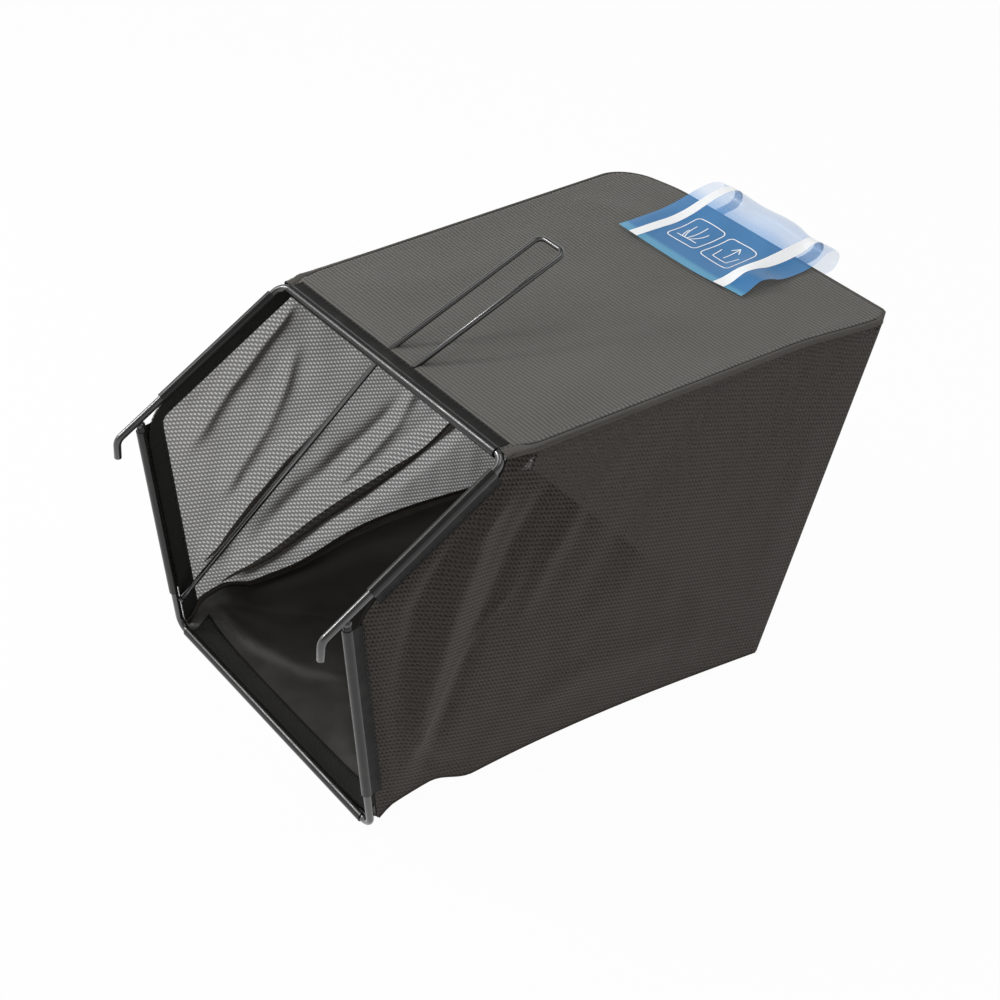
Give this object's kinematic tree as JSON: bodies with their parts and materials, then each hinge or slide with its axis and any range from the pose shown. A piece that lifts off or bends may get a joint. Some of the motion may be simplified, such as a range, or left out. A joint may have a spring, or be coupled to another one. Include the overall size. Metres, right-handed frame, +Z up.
{
  "type": "mower grass box",
  "caption": "Grass catcher: a sewn fabric bag on a bent wire frame with side hooks, clip-on edge strips, a looped wire handle and a film level flap.",
  "frame": {"origin": "on the floor, under the middle of the bottom bar's centre line, beside the flat underside of the bottom clip", "axes": "X across the box, +Y from the mouth to the rear, +Z up"},
  "size_m": [0.36, 0.6441, 0.4189],
  "materials": {
    "wire_paint": "satin black paint on steel wire",
    "clip_plastic": "semi-gloss black extruded plastic",
    "top_fabric": "finely ribbed grey-brown fabric",
    "mesh_fabric": "open dark mesh",
    "floor_fabric": "smooth coated black fabric",
    "seam_tape": "matt woven tape",
    "flap_film": "translucent blue film with white print"
  },
  "bodies": {
    "root": {"bottom_clip": "clip_plastic", "bottom_mouth_hem": "seam_tape", "bottom_panel": "floor_fabric", "bottom_seam_binding": "seam_tape", "brace_foot_weld": "wire_paint", "handle_brace_wire": "wire_paint", "hook_wire": "wire_paint", "left_handle_weld": "wire_paint", "left_hoop_weld": "wire_paint", "left_lower_clip": "clip_plastic", "left_mesh_panel": "mesh_fabric", "left_mouth_hem": "seam_tape", "left_rear_seam_binding": "seam_tape", "left_shoulder_weld": "wire_paint", "left_upper_clip": "clip_plastic", "level_flap": "flap_film", "lower_wire": "wire_paint", "rear_hoop_wire": "wire_paint", "rear_panel": "mesh_fabric", "right_handle_weld": "wire_paint", "right_hoop_weld": "wire_paint", "right_lower_clip": "clip_plastic", "right_mesh_panel": "mesh_fabric", "right_mouth_hem": "seam_tape", "right_rear_seam_binding": "seam_tape", "right_shoulder_weld": "wire_paint", "right_upper_clip": "clip_plastic", "top_clip": "clip_plastic", "top_mouth_hem": "seam_tape", "top_panel": "top_fabric", "top_seam_binding": "seam_tape"}
  },
  "joints": []
}
